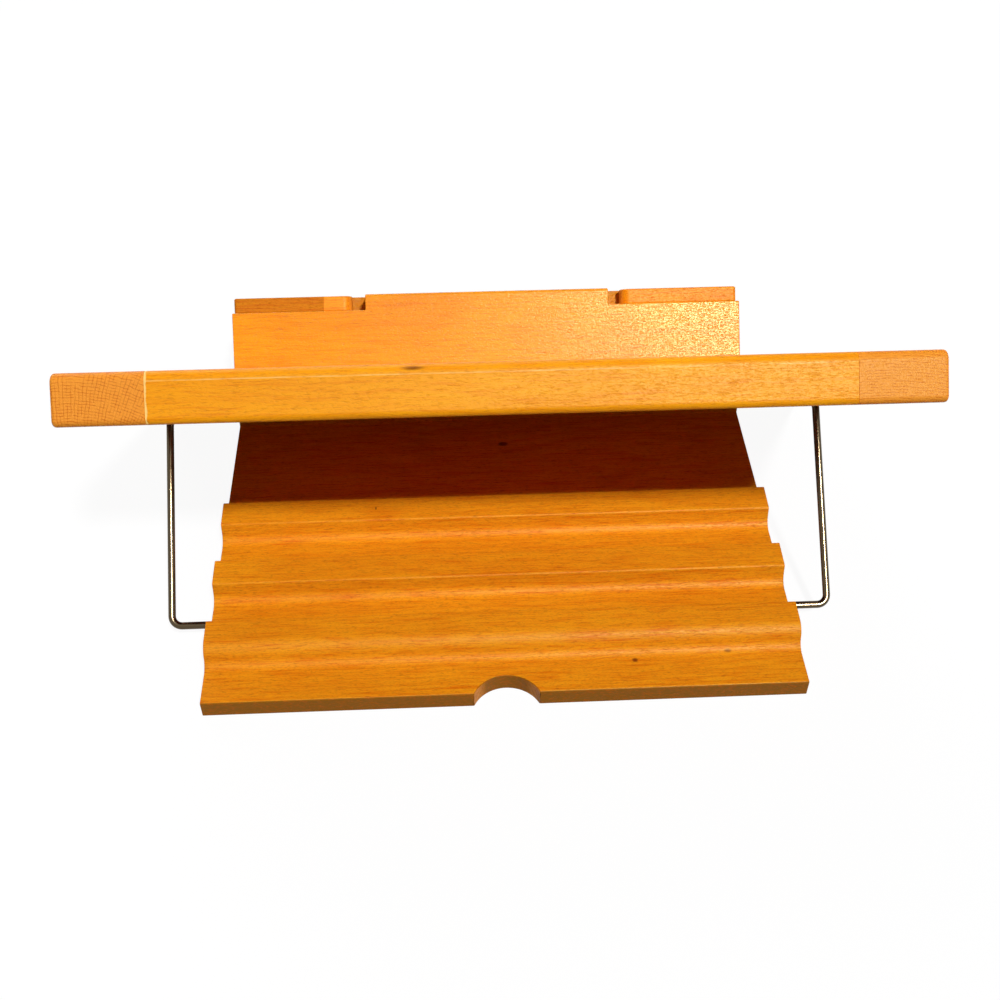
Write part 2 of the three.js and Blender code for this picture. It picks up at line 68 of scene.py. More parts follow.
UP_PANEL = Vector((1, 0, 0)).cross(INTO_BACK)
PANEL_TURN = Matrix(((1, 0, 0), INTO_BACK, UP_PANEL)).transposed()
PANEL = Matrix.Translation(PIN) @ PANEL_TURN.to_4x4()
BAIL_PIVOT = PANEL.inverted() @ Vector(JOINTS["bail_swing"]["pos_m"])

# Lengths that count as none
TOUCHING = 1e-5
MERGE = 1e-6
MM = 0.001

# Screws: radius of the shank and depth of the head
STRAP_SCREW = (0.0015, 0.0009)
HOLDER_SCREW = (0.002, 0.002)
LEDGE_SCREW = (0.0015, 0.0016)


# -------------------- measuring the frame


def panel_box(*nodes):
    """Lowest and highest corner of nodes, along the panel's own axes."""
    upright = PANEL.inverted()
    places = [upright @ v.co for n in nodes for v in frame["nodes"][n].data.vertices]
    return Vector(map(min, zip(*places))), Vector(map(max, zip(*places)))


BAIL_ROUND = 0.0015
BAIL_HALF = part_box("bail")[1].x - BAIL_ROUND
BAIL_BAR = Vector((0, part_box("bail")[1].y - BAIL_ROUND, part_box("bail")[0].z + BAIL_ROUND))
BAIL_ARM = (BAIL_BAR - Vector(JOINTS["bail_swing"]["pos_m"])).length


# -------------------- sizes and colours


def length(name, description, default):
    """A size in metres that a user can change."""
    return FloatProperty(
        name=name, description=description, default=default, min=0.0, precision=5, unit="LENGTH"
    )


def angle(name, description, default):
    """An angle in radians that a user can change."""
    return FloatProperty(name=name, description=description, default=default, subtype="ANGLE")


def direction(name, description, default):
    """A direction that a user can change."""
    return FloatVectorProperty(name=name, description=description, default=default, subtype="DIRECTION")


def colour(name, description, red, green, blue):
    """A colour given as 0 to 255 screen values, kept as linear light."""
    screen = [value / 255 for value in (red, green, blue)]
    linear = [((v + 0.055) / 1.055) ** 2.4 if v > 0.04045 else v / 12.92 for v in screen]
    return FloatVectorProperty(
        name=name, description=description, default=linear, size=3, min=0.0, max=1.0, subtype="COLOR"
    )


class BookstandBase(bpy.types.PropertyGroup):
    """Sizes of the ratchet base board."""

    width: length("Width", "End to end", 0.236)
    depth: length("Depth", "Front of the nose to the rear edge", 0.1794)
    stock: length("Stock", "Thickness at the nose and the teeth", 0.0175)
    floor: length("Floor", "Thickness under the grooves", 0.008)
    rear_lip: length("Rear lip", "Rear edge to the lip of the rear tooth", 0.0321)
    pitch: length("Pitch", "Lip to lip", 0.0341)
    teeth: IntProperty(name="Teeth", description="Number of teeth", default=3, min=1, max=3)
    tooth: length("Tooth", "Lip to the foot of the rear slope", 0.0141)
    rear_run: length("Rear run", "How far the rear slope leans", 0.0019)
    front_run: length("Front run", "How far the face that stops the bail leans", 0.0048)
    lip_reach: length("Lip reach", "How far the rear tooth's lip reaches over the wire", 0.00138)
    crest_drop: length("Crest drop", "Crest below the lip", 0.0009)
    notch: length("Notch", "Width of the finger notch", 0.0255)
    notch_depth: length("Notch depth", "Depth of the finger notch", 0.0084)
    foot: length("Foot", "Hollow at the foot of the rear slopes", 0.0045)
    wire_hollow: length("Wire hollow", "Hollow under the lips, for the wire", 0.0015)
    lip: length("Lip", "Rounding of the lips", 0.0005)
    rear_crest: length("Rear crest", "Rounding of the rear tooth's crest", 0.006)
    crest: length("Crest", "Rounding of the other crests", 0.001)
    notch_corner: length("Notch corner", "Rounding of the notch's corners", 0.0014)
    arris: length("Arris", "Rounding of the sawn edges", 0.0004)
    rear_arris: length("Rear arris", "Rounding of the rear edge", 0.0008)


class BookstandPanel(bpy.types.PropertyGroup):
    """Roundings of the framed panel and its ledge."""

    front_round: length("Front round", "Long front edges of the frame", 0.0035)
    back_round: length("Back round", "Long back edges of the frame", 0.0025)
    heel_round: length("Heel round", "Lower back edge of the stiles", 0.0044)
    side_round: length("Side round", "Outer edges of the stiles", 0.0013)
    arris: length("Arris", "Rounding of the inner edges", 0.0004)
    joint_arris: length("Joint arris", "Rounding of the stiles' edges at the rails", 0.00015)
    slot_arris: length("Slot arris", "Rounding of the rims of the slots", 0.0003)
    ledge_round: length("Ledge round", "Long edges of the ledge", 0.0015)
    ledge_arris: length("Ledge arris", "Ends and rebates of the ledge", 0.0005)
    holder_edge: length("Holder edge", "Edges of the page holders", 0.0008)
    holder_corner: length("Holder corner", "Outer corners of the page holders", 0.0015)
    board_arris: length("Board arris", "Rounding of the thin board's edges", 0.0002)
    rebate: length("Rebate", "Depth of the page holders' rebates from the front", 0.0074)
    rebate_drop: length("Rebate drop", "Floor of the rebates below the ledge's surface", 0.016)
    holder_gap: length("Holder gap", "Page holder to the ledge's middle block", 0.0065)
    relief: length("Relief", "Nose recess in the lower rail", 0.0093)
    joint: length("Joint", "Gap between rails and stiles", 0.00004)


class BookstandSteel(bpy.types.PropertyGroup):
    """Sizes of the wire and the fittings."""

    wire: length("Wire", "Radius of the wire", BAIL_ROUND)
    bend: length("Bend", "Radius of the wire's bends", 0.004)
    wire_end: length("Wire end", "Rounding of the wire's ends", 0.0003)
    wire_reach: length("Wire reach", "Wire past the inner edges of the saddles", 0.0005)
    seat: length("Seat", "Clearance round the wire in its slots", 0.0003)
    pin_hole: length("Pin hole", "Radius of the holes for the hinge pins", 0.0023)
    pin_end: length("Pin end", "Rounding of the hinge pins' ends", 0.0004)
    strap: length("Strap", "Thickness of the saddles", 0.001)
    strap_corner: length("Strap corner", "Corners of the saddles", 0.0012)
    strap_arris: length("Strap arris", "Rounding of the saddles' edges", 0.00012)
    saddle_screw: length("Saddle screw", "Head radius", 0.0024)
    holder_screw: length("Holder screw", "Head radius", 0.0029)
    ledge_screw: length("Ledge screw", "Head radius", 0.0026)


class BookstandFinish(bpy.types.PropertyGroup):
    """Colours of the wood and the metal."""

    beech: colour("Beech", "Stained face of the boards", 249, 157, 15)
    latewood: colour("Latewood", "Darker lines of the growth rings", 232, 118, 5)
    fleck: colour("Fleck", "Short dashes in the face grain", 168, 74, 6)
    end_grain: colour("End grain", "Sawn ends of the stiles", 243, 154, 50)
    end_line: colour("End line", "Rings and rays in the end grain", 204, 98, 18)
    # Darker rear edge and notch wall of the base: the edge's own mottled tone, partly painted shade
    rear_tone_and_shade: colour("Dark rear edge", "Darker rear edge and notch of the base, partly painted shade", 142, 90, 12)
    knot: colour("Knot", "Pin knots", 92, 32, 8)
    # Also the colour of the painted highlight line along the frame's front rounds
    glue: colour("Glue", "Squeezed-out glue at the joint", 254, 214, 128)
    dowel: colour("Dowel", "Unstained dowels", 216, 178, 126)
    wire: colour("Wire", "Plated wire", 84, 72, 54)
    steel: colour("Steel", "Screws, pins and saddles", 176, 174, 168)


class BookstandStage(bpy.types.PropertyGroup):
    """Camera and light."""

    camera: FloatVectorProperty(
        name="Camera", description="Place of the camera", unit="LENGTH",
        default=(0.018107, 0.398937, 0.41339),
    )
    depression: angle("Depression", "Camera below the horizon", 0.7719)
    heading: angle("Heading", "Camera turned from the stand's axis", 0.0488)
    roll: angle("Roll", "Camera rolled", -0.0032)
    lens: FloatProperty(
        name="Lens", description="Focal length in millimetres", default=47.065, subtype="DISTANCE_CAMERA"
    )
    key: FloatProperty(name="Key", description="Strength of the key light", default=3.1)
    fill: FloatProperty(name="Fill", description="Strength of the front light", default=1.4)
    sheen: FloatProperty(name="Sheen", description="Strength of the light in the gloss", default=4.8)
    ambient: FloatProperty(name="Ambient", description="Strength of the light all round", default=0.035)
    from_key: direction("Key direction", "From the stand to the key light", (-0.22, 0.545, 0.82))
    from_fill: direction("Fill direction", "From the stand to the front light", (0.25, -0.8, 0.55))
    from_sheen: direction("Sheen direction", "From the stand to the gloss light", (-0.25, 0.65, 0.72))
    key_spread: angle("Key spread", "How wide the key light looks", math.radians(5))
    fill_spread: angle("Fill spread", "How wide the front light looks", math.radians(40))
    sheen_spread: angle("Sheen spread", "How wide the gloss light looks", math.radians(13))


GROUPS = {
    "bookstand_base": BookstandBase,
    "bookstand_panel": BookstandPanel,
    "bookstand_steel": BookstandSteel,
    "bookstand_finish": BookstandFinish,
    "bookstand_stage": BookstandStage,
}


# -------------------- modelling


def rounded_face(corners, place, steps=6):
    """A flat face through rounded corners (a, b, radius); place makes a point of (a, b)."""
    bm = bmesh.new()
    verts = [bm.verts.new(place(a, b)) for a, b, _ in corners]
    bm.faces.new(verts)
    flat = [Vector(corner[:2]) for corner in corners]
    for i, (_, _, radius) in enumerate(corners):
        if radius:
            back = flat[i - 1] - flat[i]
            ahead = flat[(i + 1) % len(flat)] - flat[i]
            reach = radius / math.tan(back.angle(ahead) / 2)
            bmesh.ops.bevel(
                bm, geom=[verts[i]], offset=reach, offset_type="OFFSET", affect="VERTICES",
                segments=steps, profile=0.5, material=-1, clamp_overlap=False,
            )
    return bm


def drawn(bm, along):
    """Draws a flat face out into a closed bar."""
    made = bmesh.ops.extrude_face_region(bm, geom=bm.faces[:])
    moved = [e for e in made["geom"] if isinstance(e, bmesh.types.BMVert)]
    bmesh.ops.translate(bm, verts=moved, vec=along)
    bmesh.ops.recalc_face_normals(bm, faces=bm.faces[:])
    return bm


def eased(bm, edges, radius, steps=3):
    """Rounds edges."""
    bmesh.ops.bevel(
        bm, geom=list(edges), offset=radius, offset_type="OFFSET", affect="EDGES", segments=steps,
        profile=0.5, material=-1, clamp_overlap=False,
    )
    return bm


def sharp_edges(bm, angle=40, where=lambda middle: True):
    """Edges that turn by more than angle degrees."""
    return [
        e for e in bm.edges
        if e.calc_face_angle(0.0) > math.radians(angle) and where((e.verts[0].co + e.verts[1].co) / 2)
    ]


def bar_along_x(corners, left, right, steps=6):
    """A bar with a section in Y and Z."""
    bm = rounded_face(corners, lambda a, b: (left, a, b), steps)
    return drawn(bm, (right - left, 0, 0))


def box(low, high):
    """A plain block."""
    bm = bmesh.new()
    bmesh.ops.create_cube(bm, size=1.0)
    bmesh.ops.scale(bm, verts=bm.verts, vec=Vector(high) - Vector(low))
    bmesh.ops.translate(bm, verts=bm.verts, vec=(Vector(high) + Vector(low)) / 2)
    return bm


def rod(radius, start, end, sides=40, end_radius=None):
    """A round rod between two points, or a taper to end_radius."""
    start, end = Vector(start), Vector(end)
    bm = bmesh.new()
    bmesh.ops.create_cone(
        bm, cap_ends=True, segments=sides, depth=(end - start).length, radius1=radius,
        radius2=radius if end_radius is None else end_radius,
    )
    turn = (end - start).to_track_quat("Z", "Y").to_matrix()
    bmesh.ops.rotate(bm, verts=bm.verts, cent=(0, 0, 0), matrix=turn)
    bmesh.ops.translate(bm, verts=bm.verts, vec=(start + end) / 2)
    return bm


def as_object(bm, name):
    """A mesh object from bm, which is used up."""
    mesh = bpy.data.meshes.new(name)
    bm.to_mesh(mesh)
    bm.free()
    made = bpy.data.objects.new(name, mesh)
    bpy.context.scene.collection.objects.link(made)
    return made


def cut(bm, *cutters):
    """bm with the cutters taken away from it."""
    whole = as_object(bm, "uncut")
    tools = [as_object(cutter, "cutter") for cutter in cutters]
    for tool in tools:
        step = whole.modifiers.new("cut", "BOOLEAN")
        step.operation, step.solver, step.object = "DIFFERENCE", "EXACT", tool
    graph = bpy.context.evaluated_depsgraph_get()
    result = bmesh.new()
    result.from_mesh(whole.evaluated_get(graph).to_mesh())
    for used in (whole, *tools):
        mesh = used.data
        bpy.data.objects.remove(used)
        bpy.data.meshes.remove(mesh)
    bmesh.ops.remove_doubles(result, verts=result.verts, dist=MERGE)
    bmesh.ops.dissolve_limit(result, angle_limit=math.radians(0.5), verts=result.verts, edges=result.edges)
    if not result.faces:
        raise RuntimeError("the cut left nothing")
    return result


def finished(bm, name, material, body, replaces=(), place=Matrix.Identity(4), crease=35):
    """A shaded piece that rides on a body of the frame."""
    bmesh.ops.transform(bm, matrix=place, verts=bm.verts)
    for face in bm.faces:
        face.smooth = True
    for edge in bm.edges:
        edge.smooth = edge.calc_face_angle(0.0) < math.radians(crease)
    piece = as_object(bm, name)
    piece.data.materials.append(material)
    flat = piece.modifiers.new("flat faces", "WEIGHTED_NORMAL")
    flat.keep_sharp = True
    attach(piece, body)
    if replaces:
        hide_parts(*replaces)
    return piece


# -------------------- shader maths


class Varying:
    """Something that varies over a surface: a node's output, with arithmetic."""

    def __init__(self, socket):
        self.socket = socket

    def _math(self, operation, first, second):
        node = self.socket.id_data.nodes.new("ShaderNodeMath")
        node.operation = operation
        for socket, value in zip(node.inputs, (first, second)):
            if isinstance(value, Varying):
                node.id_data.links.new(value.socket, socket)
            else:
                socket.default_value = value
        return Varying(node.outputs[0])

    def __add__(self, other):
        return self._math("ADD", self, other)

    def __radd__(self, other):
        return self._math("ADD", other, self)

    def __sub__(self, other):
        return self._math("SUBTRACT", self, other)

    def __rsub__(self, other):
        return self._math("SUBTRACT", other, self)

    def __mul__(self, other):
        return self._math("MULTIPLY", self, other)

    def __rmul__(self, other):
        return self._math("MULTIPLY", other, self)

    def __truediv__(self, other):
        return self._math("DIVIDE", self, other)

    def __abs__(self):
        return self._math("ABSOLUTE", self, 0.0)


class Finish:
    """A material under construction."""

    def __init__(self, name, tree=None):
        if tree is None:
            self.material = bpy.data.materials.new(name)
            self.material.use_nodes = True
            tree = self.material.node_tree
        self.tree = tree
        tree.nodes.clear()

    def node(self, kind, settings=None, values=None, output=0):
        """Adds a node: its settings first, then the values or links of its sockets."""
        node = self.tree.nodes.new("ShaderNode" + kind)
        for key, value in (settings or {}).items():
            setattr(node, key, value)
        for key, value in (values or {}).items():
            socket = node.inputs[key]
            if isinstance(value, Varying):
                self.tree.links.new(value.socket, socket)
            elif hasattr(socket.default_value, "__len__") and hasattr(value, "__len__"):
                room = len(socket.default_value)
                socket.default_value = ([*value] + [1.0])[:room]
            else:
                socket.default_value = value
        return Varying(node.outputs[output]) if node.outputs else None

    def rise(self, value, low, high):
        """0 below low, 1 above high, smooth between."""
        return self.node(
            "MapRange", {"interpolation_type": "SMOOTHSTEP", "clamp": True},
            {"Value": value, "From Min": low, "From Max": high, "To Min": 0.0, "To Max": 1.0},
        )

    def distance(self, x, y, z=0.0):
        """How far (x, y, z) is from the origin."""
        place = self.node("CombineXYZ", {}, {"X": x, "Y": y, "Z": z})
        return self.node("VectorMath", {"operation": "LENGTH"}, {0: place}, output=1)

    def noise(self, along, across, through, detail=2.0, roughness=0.5):
        """Noise at the given coordinates."""
        place = self.node("CombineXYZ", {}, {"X": along, "Y": across, "Z": through})
        return self.node(
            "TexNoise", {"noise_dimensions": "3D"},
            {"Vector": place, "Scale": 1.0, "Detail": detail, "Roughness": roughness},
        )

    def blend(self, under, over, amount, mode="MIX"):
        """One colour over another."""
        return self.node(
            "Mix", {"data_type": "RGBA", "blend_type": mode, "clamp_factor": True},
            {0: amount, 6: under, 7: over}, output=2,
        )

    def surface(self, **sockets):
        """Ends the material in one Principled shader."""
        shader = self.node("BsdfPrincipled", {}, {k.replace("_", " "): v for k, v in sockets.items()})
        self.node("OutputMaterial", {}, {"Surface": shader})
        return self.material


def board_axes(finish, turn, centre, grain):
    """Coordinates in millimetres along, across and through a board, and how far a face is end grain."""
    coordinates = finish.node("TexCoord").socket.node.outputs
    place = finish.node(
        "Mapping", {"vector_type": "TEXTURE"},
        {
            "Vector": Varying(coordinates["Object"]),
            "Location": centre, "Rotation": turn.to_euler(), "Scale": (MM, MM, MM),
        },
    )
    parts = finish.node("SeparateXYZ", {}, {0: place}).socket.node.outputs
    axes = [Varying(parts["XYZ".index(axis)]) for axis in grain]
    end = finish.node(
        "VectorMath", {"operation": "DOT_PRODUCT"},
        {0: Varying(coordinates["Normal"]), 1: turn.col["XYZ".index(grain[0])]}, output=1,
    )
    return (*axes, finish.rise(abs(end), 0.5, 0.85))


def beech(
    name, turn=Matrix.Identity(3), centre=(0, 0, 0), grain="XYZ", pith=(12.0, -70.0), ring=3.4, figure=1.0,
    sawn=(1.8, 1.6, 0.4), stain=None, knots=(), glue_at=None, highlight_at=None, shade_and_tone=None, rear_tone_and_shade=None, seed=0.0,
    gloss=(0.40, 0.2, 0.45, 0.1),
):
    """Stained and lacquered beech. grain names the axes along, across and through the board.

    Places are in millimetres. pith is the heart of the tree across and through the board, ring the
    spacing of its rings and figure the strength of the face grain. sawn is the end grain's spacing
    of rays and of rings and the strength of the rays. stain multiplies the colour. knots are
    (along, across, through, length, width). Glue shows beyond glue_at along the board, and a painted
    highlight, a pale line, at highlight_at across it. shade_and_tone is an axis and the places between
    which the wood turns rougher and its colour darker, as painted shade on the ledge's low part with
    its rebate floors and as the wood's own darker tone on a page holder. rear_tone_and_shade is where
    the darker rear edge starts across the board, and the notch's centre and radius; that darker colour
    is the edge's own mottled tone and partly painted shade. gloss is the roughness, the specular
    level, the skin's relief and its pits' dullness.
    """
    look = bpy.context.scene.bookstand_finish
    finish = Finish(name)
    along, across, through, end = board_axes(finish, turn, centre, grain)

    def fract(value):
        return finish.node("Math", {"operation": "FRACT"}, {0: value})

    def stripe(value, low, high):
        return finish.rise(abs(fract(value) - 0.5), low, high)

    # Growth rings wander along the board and fray at their edges
    wander = finish.noise(along * 0.009 + seed, across * 0.03, through * 0.03, 1.0) - 0.5
    fray = finish.noise(along * 0.05 + seed, across * 0.35, through * 0.35, 2.0) - 0.5
    from_pith = finish.distance(across - pith[0], through - pith[1])
    rings = fract((from_pith + 16.0 * wander + 1.1 * fray) / ring)
    late = finish.rise(rings, 0.45, 0.95) * (1.0 - finish.rise(rings, 0.95, 1.0))

    # Fibres, short dark rays drawn out along the grain, and slow drifts of the stain
    drift = finish.noise(along * 0.012 + seed, across * 0.05, through * 0.05, 1.0)
    weave = across + 1.6 * (finish.noise(along * 0.07 + seed, across * 0.1, through * 0.1, 1.0) - 0.5)
    fibre = finish.noise(along * 0.07 + seed, weave * 1.7, through * 1.7, 3.0, 0.6)
    dashes = finish.noise(along * 0.38, weave * 2.1, through * 2.1 + seed, 1.0, 0.4)
    dash = finish.rise(dashes, 0.54, 0.70)
    pores = finish.rise(finish.noise(along * 0.9, weave * 2.9, through * 2.9 + seed, 2.0), 0.50, 0.68)
    streaks = finish.rise(fibre, 0.42, 0.74)
    face = finish.blend(look.beech, look.latewood, figure * (0.22 * late + 0.95 * streaks))
    face = finish.blend(face, look.fleck, figure * (0.30 * dash + 0.26 * pores))
    face = finish.blend(face, (0.90, 0.79, 0.62), finish.rise(drift, 0.36, 0.68) * 0.6, "MULTIPLY")

    # Ends: the same rings cut across, with rays that run out from the pith
    spread = (across - pith[0]) / (through - pith[1])
    far = abs(pith[1]) + 7.0
    wobble = finish.noise(across * 0.22, through * 0.22, seed, 2.0) - 0.5
    fade = finish.rise(finish.noise(spread * far * 0.5, from_pith * 0.2, seed, 1.0), 0.32, 0.60)
    rays = stripe(spread * (far / sawn[0]) + 0.8 * wobble, 0.28, 0.50) * fade
    fade = finish.rise(finish.noise(spread * far * 0.36, from_pith * 0.9, seed + 4.0, 2.0), 0.36, 0.60)
    bands = stripe(from_pith / sawn[1] + 1.4 * wobble, 0.26, 0.50) * fade
    cells = finish.noise(across * 2.4, through * 2.4, along * 0.1, 2.0)
    lines = sawn[2] * rays + 0.8 * bands + 0.5 * (cells - 0.42)
    wood = finish.blend(face, finish.blend(look.end_grain, look.end_line, lines), end)

    if stain:
        wood = finish.blend(wood, stain, 1.0, "MULTIPLY")
    if rear_tone_and_shade:
        # The rear edge and the notch in it: brown with paler specks, darker than the other faces; that
        # darkness is partly painted shade
        edge, notch, radius = rear_tone_and_shade
        speckle = finish.noise(along * 0.8, across * 1.2, through * 1.5 + 3.0, 3.0, 0.7)
        specks = finish.rise(speckle, 0.45, 0.75)
        rear_colour_with_shade = finish.blend(look.rear_tone_and_shade, look.end_line, 0.55 * specks + 0.3 * dash)
        at_notch = 1.0 - finish.rise(finish.distance(along, across - notch) - radius, 0.1, 0.4)
        at_rear = finish.rise(across, edge, edge + 0.3)
        at_either = finish.node("Math", {"operation": "MAXIMUM"}, {0: at_notch, 1: at_rear})
        wood = finish.blend(wood, rear_colour_with_shade, at_either * (1.0 - end))
    # Darker and rougher beyond two places on one axis: painted shade on the ledge's low part with its
    # rebate floors, the wood's own darker tone on a page holder
    if shade_and_tone:
        shade_and_tone_amount = finish.rise({"along": along, "through": through}[shade_and_tone[0]], *shade_and_tone[1:])
        wood = finish.blend(wood, (0.68, 0.64, 0.2), shade_and_tone_amount, "MULTIPLY")
    # A painted highlight: a pale, patchy line along the start of the front round, in the glue's colour
    if highlight_at is not None:
        line = 1.0 - finish.rise(abs(across - highlight_at + 0.3 * (drift - 0.5)), 0.10, 0.34)
        patchy = finish.rise(finish.noise(along * 0.1 + seed, across, through * 0.1, 3.0), 0.30, 0.60)
        wood = finish.blend(wood, look.glue, 0.5 * line * patchy)
    for at, over, deep, long, wide in knots:
        near = finish.distance((along - at) / long, (across - over) / wide, (through - deep) / wide)
        core = 1.0 - finish.rise(near + 0.5 * (fibre - 0.5), 0.35, 1.0)
        wood = finish.blend(wood, look.knot, core * 0.85)
    if glue_at is not None:
        ragged = along + 1.2 * finish.noise(across * 0.3, through * 0.9, along * 0.05 + seed, 3.0)
        wood = finish.blend(wood, look.glue, finish.rise(ragged, glue_at, glue_at + 0.25) * 0.85)

    skin = finish.noise(along * 1.1, across * 1.6, through * 1.6, 2.0, 0.6)
    height = finish.node(
        "Bump", {}, {
            "Strength": 0.5, "Distance": 0.00016,
            "Height": gloss[2] * skin + 0.3 * fibre - 0.35 * dash - 0.35 * pores,
        },
    )
    roughness = gloss[0] + 0.12 * dash + 0.10 * pores + 0.04 * end + 0.10 * (drift - 0.5)
    roughness = roughness + gloss[3] * finish.rise(skin, 0.53, 0.60)
    if shade_and_tone:
        roughness = roughness + 0.3 * shade_and_tone_amount
    return finish.surface(
        Base_Color=wood, Roughness=roughness, IOR=1.45, Specular_IOR_Level=gloss[1],
        Specular_Tint=(1.0, 0.90, 0.50), Normal=height,
    )


def bare_dowel():
    """Unstained wood of the dowels."""
    finish = Finish("bare dowel")
    along, across, through, _ = board_axes(finish, Matrix.Identity(3), (0, 0, 0), "XYZ")
    streak = finish.noise(along * 0.1, across * 2.0, through * 2.0, 2.0)
    tone = bpy.context.scene.bookstand_finish.dowel
    return finish.surface(
        Base_Color=finish.blend(tone, (0.35, 0.2, 0.09), finish.rise(streak, 0.4, 0.8) * 0.5),
        Roughness=0.6 + 0.2 * streak,
    )


def plated(name, tone, roughness, scratch):
    """Plated steel with faint drawn lines and a little haze."""
    finish = Finish(name)
    place = Varying(finish.node("TexCoord").socket.node.outputs["Object"])
    haze = finish.node("TexNoise", {}, {"Vector": place, "Scale": 160.0, "Detail": 3.0})
    lines = finish.node("TexNoise", {}, {"Vector": place, "Scale": 1400.0, "Detail": 2.0})
    dull = finish.blend(tone, (0.10, 0.08, 0.06), finish.rise(haze, 0.50, 0.8) * 0.5)
    bump = finish.node("Bump", {}, {"Strength": scratch, "Distance": 0.00002, "Height": lines})
    uneven = 0.16 * (haze - 0.5) + 0.08 * (lines - 0.5)
    return finish.surface(Base_Color=dull, Metallic=1.0, Roughness=roughness + uneven, Normal=bump)


# -------------------- the pieces


class BOOKSTAND_OT_base(bpy.types.Operator):
    """Ratchet base board: a nose, a flat, the teeth and a finger notch"""

    bl_idname = "bookstand.base"
    bl_label = "Base Board"

    def execute(self, context):
        size = context.scene.bookstand_base
        front, rear, nose = -size.depth / 2, size.depth / 2, size.stock / 2
        full = nose * 0.999  # short of where the nose's two roundings would meet
        corners = [(front, 0, full), (rear, 0, size.rear_arris), (rear, size.floor, size.rear_arris)]
        for tooth in range(size.teeth):
            lip = rear - size.rear_lip - tooth * size.pitch
            foot = lip + size.tooth
            # The rear tooth's lip reaches over the wire, and its crest is softer
            front_run = size.front_run - (size.lip_reach if tooth == 0 else 0)
            crest = size.rear_crest if tooth == 0 else size.crest
            corners += [
                (foot, size.floor, size.foot),
                (foot - size.rear_run, size.stock - size.crest_drop, crest),
                (lip - size.front_run + front_run, size.stock, size.lip),
                (lip - size.front_run, size.floor, size.wire_hollow),
            ]
        corners += [
            (front + 2 * nose, size.floor, 0),
            (front + 2 * nose, size.stock, full),
            (front, size.stock, full),
        ]
        bm = bar_along_x(corners, -size.width / 2, size.width / 2, steps=8)
        half, deep = size.notch / 2, size.notch_depth
        radius = (half ** 2 + deep ** 2) / (2 * deep)
        centre = rear - deep + radius
        bm = cut(bm, rod(radius, (0, centre, -0.01), (0, centre, size.stock), 96))
        upright = [
            e for e in sharp_edges(bm, 30)
            if abs(abs(e.verts[0].co.x) - half) < size.arris
            and abs(e.verts[0].co.x - e.verts[1].co.x) < TOUCHING
            and abs(e.verts[0].co.z - e.verts[1].co.z) > size.floor / 2
        ]
        eased(bm, upright, size.notch_corner, 4)
        eased(bm, sharp_edges(bm, 50), size.arris)
        wood = beech(
            "base beech", pith=(-30.0, -58.0), ring=3.0, stain=(0.885, 0.955, 1.7),
            knots=[
                (-88.5, 72.8, 8.0, 2.4, 1.4), (-51.3, 75.8, 8.0, 1.6, 1.3), (52.0, -5.0, 17.2, 0.5, 1.3),
                (-5.3, -54.3, 8.0, 3.0, 2.0),
            ],
            # the rear edge and the notch wall turn darker: their own mottled tone, partly painted shade
            rear_tone_and_shade=(rear / MM - 0.5, centre / MM, radius / MM), gloss=(0.38, 0.12, 0.45, 0.1),
        )
        finished(bm, "ratchet_base", wood, "base", ["base_board"])
        return {"FINISHED"}


